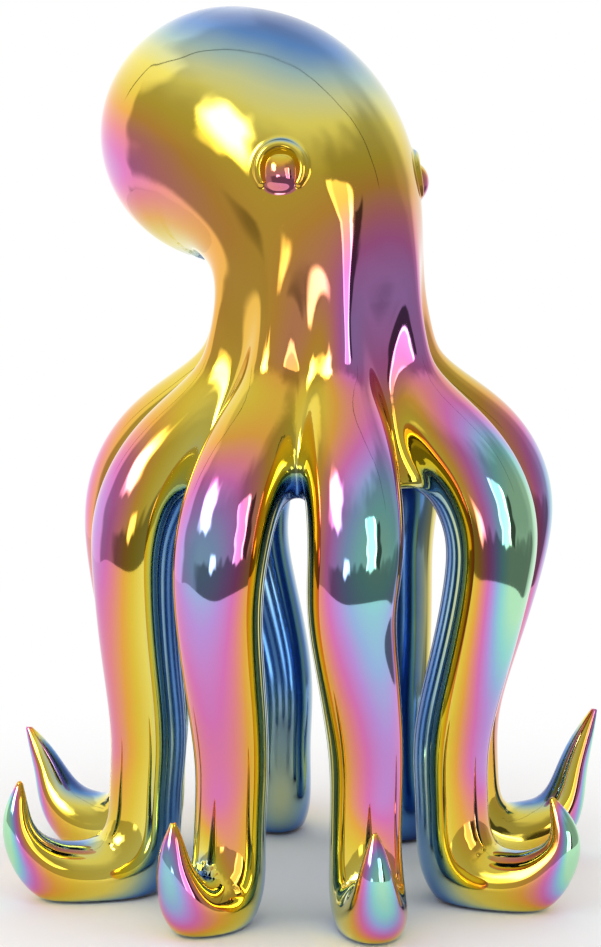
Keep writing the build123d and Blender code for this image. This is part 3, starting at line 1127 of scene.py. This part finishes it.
@dataclass
class EyePair:
    """Eyeballs and horseshoe eyelids, raised from the skin of the head."""

    SKIRT = 1.0
    skin: Skin
    film: Film
    balls: list[bpy.types.Object] = field(default_factory=list)
    lids: list[bpy.types.Object] = field(default_factory=list)

    def build(self) -> None:
        """Makes both eyes and puts them on the frame."""
        for side, (angle, around) in EYE_PLACES.items():
            place = self.seat(angle, around)
            self.balls.append(self.finish_piece("eye_" + side, *self.ball(place), Slot.EYE))
            self.lids.append(self.finish_piece("eyelid_" + side, *self.lid(place), Slot.PLATED))
        LOG.info("%d eyes", len(self.balls))

    def dress(self, ball: bpy.types.Material, lid: bpy.types.Material) -> None:
        """Gives the eyes their finishes.

        Args:
            ball: Finish of the eyeballs.
            lid: Finish of the eyelids.
        """
        for made in self.balls:
            made.data.materials.append(ball)
        for made in self.lids:
            made.data.materials.append(lid)

    def seat(self, angle: float, around: float) -> tuple[Array, Array]:
        """Finds the eye's place on the head.

        Args:
            angle: Turn of the head section about the crease, in degrees.
            around: Turn around that section from the face, in degrees.

        Returns:
            Origin on the skin, and the axes (across, up, out) as rows.
        """
        turn, round_ = math.radians(angle), math.radians(around)
        out = np.array([0.0, -math.cos(turn), math.sin(turn)])
        middle = crease_point() + CREASE * out
        spot = middle + 48.0 * (out * math.cos(round_) + np.array([math.sin(round_), 0.0, 0.0]))
        for _ in range(6):
            value, slope = self.skin.probe(spot[None])
            spot = spot - value[0] * slope[0] / (slope[0] ** 2).sum()
        normal = slope[0] / np.linalg.norm(slope[0])
        across = np.cross([0.0, 0.0, 1.0], normal)
        across /= np.linalg.norm(across)
        return spot, np.stack([across, np.cross(normal, across), normal])

    @staticmethod
    def swell(off: Array, rise: float, radius: Array, fillet: float) -> Array:
        """Height above the skin at which a round bar or ball shows, with a fillet at its foot.

        Args:
            off: Distance along the skin from the bar's line or the ball's middle.
            rise: Height of that line or middle above the skin.
            radius: Radius of the bar or ball.
            fillet: Reach of the fillet.

        Returns:
            Heights above the skin.
        """
        low, high = np.zeros_like(off), np.full_like(off, 12.0)
        nothing = np.zeros((len(off), 3))
        for _ in range(30):
            middle = (low + high) / 2.0
            bar = np.hypot(off, middle - rise) - radius
            inside = join((middle, nothing), (bar, nothing), fillet)[0] < 0.0
            low, high = np.where(inside, middle, low), np.where(inside, high, middle)
        return (low + high) / 2.0

    def raise_from(self, place: tuple[Array, Array], flat: Array, height: Array) -> Array:
        """Lays flat coordinates on the skin of the head at given heights above it.

        Args:
            place: Origin and axes from seat().
            flat: Coordinates across and up.
            height: Heights above the skin.

        Returns:
            Points in millimetres.
        """
        origin, axes = place
        spots = origin + flat @ axes[:2] + height[:, None] * axes[2]
        for _ in range(4):
            value, slope = self.skin.trunk(spots, True)
            spots = spots + ((height - value) / np.maximum(slope @ axes[2], 0.3))[:, None] * axes[2]
        return spots

    def ball(self, place: tuple[Array, Array]) -> tuple[Array, list, Array]:
        """Domed eyeball, a little square, as rings on the skin.

        Args:
            place: Origin and axes from seat().

        Returns:
            Vertices and faces of a closed mesh, and shading normals.
        """
        turns, rings = 72, 26
        turn = np.arange(turns) * math.tau / turns
        square = (np.abs(np.cos(turn)) ** 2.5 + np.abs(np.sin(turn)) ** 2.5) ** (-1.0 / 2.5)
        reach = (EYE_RADIUS + 1.6) * np.arange(1, rings + 1) / rings
        flat = reach[:, None, None] * (square[:, None] * np.stack([np.cos(turn), np.sin(turn)], -1))
        flat = flat * (1.0, EYE_LENGTH) + (0.0, EYE_SAG)
        off = np.repeat(reach, turns)
        dome = (EYE_RADIUS ** 2 + EYE_BULGE ** 2) / (2.0 * EYE_BULGE)
        height = self.swell(off, EYE_BULGE - dome, dome, 2.4) + 0.03
        top = self.raise_from(place, np.concatenate([[[0.0, EYE_SAG]], flat.reshape(-1, 2)]),
                              np.concatenate([[EYE_BULGE + 0.03], height]))
        return self.close_rings(top, turns, rings, place[1][2])

    @staticmethod
    def close_rings(top: Array, turns: int, rings: int, out: Array) -> tuple[Array, list, Array]:
        """Closes a dome of rings with a flat underside.

        Args:
            top: Middle vertex first, then ring after ring.
            turns: Vertices in a ring.
            rings: Number of rings.
            out: Outward direction.

        Returns:
            Vertices, faces and shading normals.
        """
        grid = top[1:].reshape(rings, turns, 3)
        around = np.roll(grid, -1, 1) - np.roll(grid, 1, 1)
        normal = np.cross(np.gradient(grid, axis=0), around).reshape(-1, 3)
        normal = np.concatenate([normal[:turns].mean(0)[None], normal, normal[-turns:]])
        faces = []
        for k in range(turns):
            after = (k + 1) % turns
            faces.append((0, 1 + k, 1 + after))
            for ring in range(rings - 1):
                a, b = 1 + ring * turns, 1 + (ring + 1) * turns
                faces.append((a + k, b + k, b + after, a + after))
        rim, count = 1 + (rings - 1) * turns, len(top)
        under = top[rim:] - EyePair.SKIRT * out
        for k in range(turns):
            after = (k + 1) % turns
            faces.append((rim + k, count + k, count + after, rim + after))
        faces.append(tuple(count + k for k in reversed(range(turns))))
        return np.concatenate([top, under]), faces, unit(normal)

    def lid(self, place: tuple[Array, Array]) -> tuple[Array, list, Array]:
        """Horseshoe rim over the eyeball, open below, as a grid along its line.

        Args:
            place: Origin and axes from seat().

        Returns:
            Vertices and faces of a closed mesh, and shading normals.
        """
        ring, fillet = EYE_RADIUS + LID_THICK + 0.3, 2.6
        half = math.radians(LID_SPAN / 2.0)
        margin = LID_THICK + fillet
        along = np.linspace(-half - margin / ring, half + margin / ring, 131)
        across = np.linspace(-margin, margin, 31)
        turn, off = np.meshgrid(along, across, indexing="ij")
        turn, off = turn.ravel(), off.ravel()
        past = np.maximum(np.abs(turn) - half, 0.0) * ring
        thick = LID_THICK * (1.0 - 0.35 * np.clip(np.abs(turn) / half, 0.0, 1.0) ** 4)
        height = self.swell(np.hypot(off, past), 0.25, thick, fillet) + 0.02
        flat = (ring + off)[:, None] * np.stack([-np.sin(turn), 1.06 * np.cos(turn)], -1)
        top = self.raise_from(place, flat, height)
        rows, columns = len(along), len(across)
        number = np.arange(rows * columns).reshape(rows, columns)
        faces = [(number[i, j], number[i, j + 1], number[i + 1, j + 1], number[i + 1, j])
                 for i in range(rows - 1) for j in range(columns - 1)]
        under = top - self.SKIRT * place[1][2]
        count = len(top)
        faces += [tuple(count + v for v in reversed(f)) for f in faces]
        edge = [*number[0, :], *number[1:, -1], *number[-1, -2::-1], *number[-2:0:-1, 0]]
        faces += [(b, a, a + count, b + count) for a, b in zip(edge, edge[1:] + edge[:1])]
        grid = top.reshape(rows, columns, 3)
        normal = unit(np.cross(np.gradient(grid, axis=1), np.gradient(grid, axis=0)).reshape(-1, 3))
        return np.concatenate([top, under]), faces, np.tile(normal, (2, 1))

    def finish_piece(self, node: str, points: Array, faces: list, normals: Array,
                     slot: Slot) -> bpy.types.Object:
        """Makes the object of an eye piece, with its film.

        Args:
            node: The CAD node that it stands for.
            points: Vertices in millimetres.
            faces: Faces.
            normals: Shading normals.
            slot: Material slot; not used.

        Returns:
            The object, on the frame.
        """
        made = make_object("skin_" + node, points, faces, normals)
        add_attribute(made, "film", self.film.thickness(points, normals))
        put_on_frame(made, node)
        return made


@dataclass(frozen=True)
class Felt:
    """Pressed felt."""

    name: str
    dark: tuple[int, int, int]
    light: tuple[int, int, int]

    def make(self) -> bpy.types.Material:
        """Builds the material.

        Returns:
            The material.
        """
        made, graph = new_material(self.name)
        where = graph.node("ShaderNodeTexCoord")["Object"]
        tuft = graph.noise(where, 900.0, 5.0)
        bump = graph.node("ShaderNodeBump", None, {"Strength": 0.6, "Distance": 0.0004, "Height": tuft})
        colour = tuft.rise(0.3, 0.7).mix(linear(*self.dark), linear(*self.light))
        shader = graph.node("ShaderNodeBsdfPrincipled", None, {
            "Base Color": colour, "Roughness": 0.95, "Normal": bump["Normal"]})
        graph.node("ShaderNodeOutputMaterial", None, {"Surface": shader["BSDF"]})
        return made


FELT = Felt("Grey felt", (52, 52, 56), (96, 96, 100))


@dataclass
class FootPads:
    """Felt discs under the soles, each with a fuzz of fibres round its edge."""

    fibres: float = 2.0e6
    fibre_length: float = 0.0005
    made: list[bpy.types.Object] = field(default_factory=list)

    def build(self) -> None:
        """Makes the pads at the places that the frame gives them."""
        group = self.group()
        for seed, stance in enumerate(STANCES):
            node = "foot_pad_" + stance.name
            low, high = (Vector(corner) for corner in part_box(node))
            settings = {"Radius": (high.x - low.x) / 2.0, "Thickness": high.z - low.z,
                        "Place": (low + high) / 2.0, "Fibres": self.fibres,
                        "Fibre Length": self.fibre_length, "Seed": seed}
            self.made.append(self.bake(node, group, settings))
        LOG.info("%d felt pads", len(self.made))

    @staticmethod
    def group() -> bpy.types.NodeTree:
        """Node group of one pad.

        Returns:
            The group: a disc, with fibres strewn on its edge.
        """
        tree = bpy.data.node_groups.new("Felt pad", "GeometryNodeTree")
        for name, kind in (("Radius", "Float"), ("Thickness", "Float"), ("Place", "Vector"),
                           ("Fibres", "Float"), ("Fibre Length", "Float"), ("Seed", "Int"),
                           ("Finish", "Material")):
            tree.interface.new_socket(name, in_out="INPUT", socket_type="NodeSocket" + kind)
        tree.interface.new_socket("Geometry", in_out="OUTPUT", socket_type="NodeSocketGeometry")
        graph = Graph(tree)
        given = graph.node("NodeGroupInput")
        disc = graph.node("GeometryNodeMeshCylinder", {"fill_type": "NGON"}, {
            "Vertices": 64, "Radius": given["Radius"] - given["Fibre Length"], "Depth": given["Thickness"]})
        spots = graph.node("GeometryNodeDistributePointsOnFaces", None, {
            "Mesh": disc["Mesh"], "Selection": disc["Side"], "Density": given["Fibres"],
            "Seed": given["Seed"]})
        fibre = graph.node("GeometryNodeMeshCone", {"fill_type": "NGON"}, {
            "Vertices": 5, "Radius Top": 0.00002, "Radius Bottom": 0.00008, "Depth": given["Fibre Length"]})
        tilt = graph.node("FunctionNodeRandomValue", {"data_type": "FLOAT_VECTOR"}, {
            0: (-0.5, -0.5, -3.0), 1: (0.5, 0.5, 3.0), "Seed": given["Seed"]})["Value"]
        turn = graph.node("FunctionNodeEulerToRotation", None, {0: tilt})["Rotation"]
        turn = graph.node("FunctionNodeRotateRotation", {"rotation_space": "LOCAL"}, {
            "Rotation": spots["Rotation"], "Rotate By": turn})["Rotation"]
        fuzz = graph.node("GeometryNodeInstanceOnPoints", None, {
            "Points": spots["Points"], "Instance": fibre["Mesh"], "Rotation": turn})
        both = graph.node("GeometryNodeJoinGeometry", None, {0: [disc["Mesh"], fuzz["Instances"]]})
        whole = graph.node("GeometryNodeRealizeInstances", None, {0: both["Geometry"]})
        placed = graph.node("GeometryNodeTransform", None, {
            0: whole["Geometry"], "Translation": given["Place"]})
        dressed = graph.node("GeometryNodeSetMaterial", None, {
            "Geometry": placed["Geometry"], "Material": given["Finish"]})
        graph.node("NodeGroupOutput", None, {0: dressed["Geometry"]})
        return tree

    @staticmethod
    def bake(node: str, group: bpy.types.NodeTree, settings: dict) -> bpy.types.Object:
        """Runs the group once and keeps the plain mesh on the frame.

        Args:
            node: The CAD node that the pad stands for.
            group: The node group.
            settings: Its inputs by name.

        Returns:
            The pad.
        """
        made = make_object("felt_" + node, np.zeros((0, 3)), [])
        modifier = made.modifiers.new("Felt pad", "NODES")
        modifier.node_group = group
        for socket in group.interface.items_tree:
            if socket.name in settings:
                modifier[socket.identifier] = settings[socket.name]
        view = bpy.context.evaluated_depsgraph_get()
        mesh = bpy.data.meshes.new_from_object(made.evaluated_get(view))
        made.modifiers.remove(modifier)
        made.data = mesh
        put_on_frame(made, node)
        return made

    def dress(self, finish: bpy.types.Material) -> None:
        """Gives every pad the felt.

        Args:
            finish: The felt.
        """
        for made in self.made:
            made.data.materials.clear()
            made.data.materials.append(finish)


@dataclass(frozen=True)
class Lamp:
    """A bright or dark field of the room: turn from the camera, rise, level and soft edge, in degrees."""

    turn: tuple[float, float]
    rise: tuple[float, float]
    level: float
    edge: float


LAMPS = (
    Lamp((-115.0, 125.0), (-80.0, -10.0), 0.20, 3.0),
    Lamp((-115.0, -62.0), (-80.0, 2.0), 0.48, 8.0),
    Lamp((26.0, 112.0), (-10.0, 42.0), 0.40, 9.0),
    Lamp((-200.0, -104.0), (-30.0, 46.0), 1.15, 4.0),
    Lamp((132.0, 200.0), (-30.0, 40.0), 1.0, 10.0),
    Lamp((-66.0, -40.0), (18.0, 41.0), 14.0, 8.0),
    Lamp((-25.0, -14.0), (-14.0, -5.0), 4.0, 3.0),
    Lamp((26.0, 50.0), (-14.0, 22.0), 1.7, 1.5),
    Lamp((26.0, 30.0), (-14.0, 24.0), 3.2, 1.5),
    Lamp((46.5, 50.0), (-14.0, 22.0), 6.0, 1.2),
    Lamp((52.0, 61.0), (-14.0, 19.0), 0.07, 1.2),
)


@dataclass
class Studio:
    """Camera, white room and floor."""

    azimuth: float = -41.0
    distance: float = 1800.0
    height: float = 520.0
    shift: float = 1.3
    pitch: float = 10.70
    lens: float = 161.56
    board_front: float = 340.0
    board_rear: float = 900.0
    board_left: float = 560.0
    board_right: float = 340.0
    board_sides: int = 96
    board_height: float = -0.4

    def back(self) -> Vector:
        """Level direction from the object to the camera."""
        turn = math.radians(self.azimuth)
        return Vector((math.sin(turn), -math.cos(turn), 0.0))

    def build(self) -> None:
        """Makes camera, floor and room."""
        self.add_camera()
        self.add_floor()
        self.add_room()

    def add_camera(self) -> None:
        """Puts the camera at the photograph's place."""
        back = self.back()
        right = Vector((-back.y, back.x, 0.0))
        data = bpy.data.cameras.new("Camera")
        data.lens, data.sensor_width, data.sensor_fit = self.lens, 36.0, "AUTO"
        data.clip_start, data.clip_end = 0.05, 50.0
        camera = bpy.data.objects.new("Camera", data)
        bpy.context.scene.collection.objects.link(camera)
        spot = Vector((AXIS_X, AXIS_Y, self.height)) + back * self.distance + right * self.shift
        camera.location = spot * MM
        tilt = math.radians(self.pitch)
        ahead = -back * math.cos(tilt) - Vector((0.0, 0.0, math.sin(tilt)))
        camera.rotation_mode = "QUATERNION"
        camera.rotation_quaternion = ahead.to_track_quat("-Z", "Y")
        bpy.context.scene.camera = camera

    def add_floor(self) -> None:
        """Lays a white board under the object, its front edge near and its far edge lost in white."""
        back = np.array(self.back()[:2])
        right = np.array([-back[1], back[0]])
        turn = np.linspace(0.0, math.tau, self.board_sides, endpoint=False)
        across, ahead = np.cos(turn), np.sin(turn)
        across = np.where(across < 0.0, self.board_left, self.board_right) * across
        ahead = np.where(ahead < 0.0, self.board_rear, self.board_front) * ahead
        flat = across[:, None] * right + ahead[:, None] * back
        rim = np.concatenate([flat, np.full((self.board_sides, 1), self.board_height)], 1)
        floor = make_object("floor", rim, [tuple(range(self.board_sides))])
        made, graph = new_material("White board")
        where = graph.node("ShaderNodeTexCoord")["Object"]
        away = graph.node("ShaderNodeVectorMath", {"operation": "LENGTH"}, {0: where})["Value"]
        matt = graph.node("ShaderNodeBsdfPrincipled", None,
                          {"Base Color": (0.97, 0.97, 0.97), "Roughness": 0.9})
        glow = graph.node("ShaderNodeEmission", None, {"Color": (1.0, 1.0, 1.0), "Strength": 1.0})
        both = graph.node("ShaderNodeMixShader", None,
                          {0: away.rise(0.10, 0.34), 1: matt["BSDF"], 2: glow["Emission"]})
        graph.node("ShaderNodeOutputMaterial", None, {"Surface": both["Shader"]})
        floor.data.materials.append(made)

    def add_room(self) -> None:
        """White room for the eye and for matt surfaces, with the lamps that mirrors see."""
        world = bpy.data.worlds.new("Room")
        bpy.context.scene.world = world
        world.use_nodes = True
        graph = Graph(world.node_tree)
        path = graph.node("ShaderNodeLightPath")
        where = graph.node("ShaderNodeTexCoord")["Generated"]
        parts = graph.node("ShaderNodeSeparateXYZ", None, {0: where})
        back = self.back()
        ahead = parts["X"] * back.x + parts["Y"] * back.y
        aside = parts["Y"] * back.x - parts["X"] * back.y
        turn = graph.math("ARCTAN2", aside, ahead) * (180.0 / math.pi)
        rise = graph.math("ARCSINE", parts["Z"], 0.0) * (180.0 / math.pi)
        turn = turn + (graph.noise(where, 5.0, 0.0) - 0.5) * 10.0
        rise = rise + (graph.noise(where, 6.0, 0.0) - 0.5) * 10.0
        level = 0.52 + 0.3 * rise.rise(25.0, 55.0)
        for lamp in LAMPS:
            inside = turn.between(*lamp.turn, lamp.edge) * rise.between(*lamp.rise, lamp.edge)
            level = level + inside * (lamp.level - level)
        boom = ahead - aside * 0.30 + 0.17 + (graph.noise(where, 3.0, 1.0) - 0.5) * 0.16
        level = level * (1.0 - 0.85 * boom.between(-0.007, 0.007, 0.004) * rise.rise(14.0, 20.0))
        mirror = path["Is Glossy Ray"]
        shader = graph.node("ShaderNodeBackground", None, {"Color": (1.0, 1.0, 1.0),
                                                           "Strength": mirror * level + (1.0 - mirror)})
        graph.node("ShaderNodeOutputWorld", None, {"Surface": shader["Background"]})
        bpy.context.scene.view_settings.view_transform = "Standard"


def main() -> None:
    """Builds the object, dresses it and lights it."""
    logging.basicConfig(level=logging.INFO)
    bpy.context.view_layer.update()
    skin = Skin()
    film = Film(skin, *ROOM)
    plating = PLATING.make()
    castings = Castings(skin, film)
    castings.build()
    castings.dress(plating)
    eyes = EyePair(skin, film)
    eyes.build()
    eyes.dress(EYE_PLATING.make(), plating)
    pads = FootPads()
    pads.build()
    pads.dress(FELT.make())
    studio = Studio()
    studio.build()


if __name__ == "__main__":
    main()
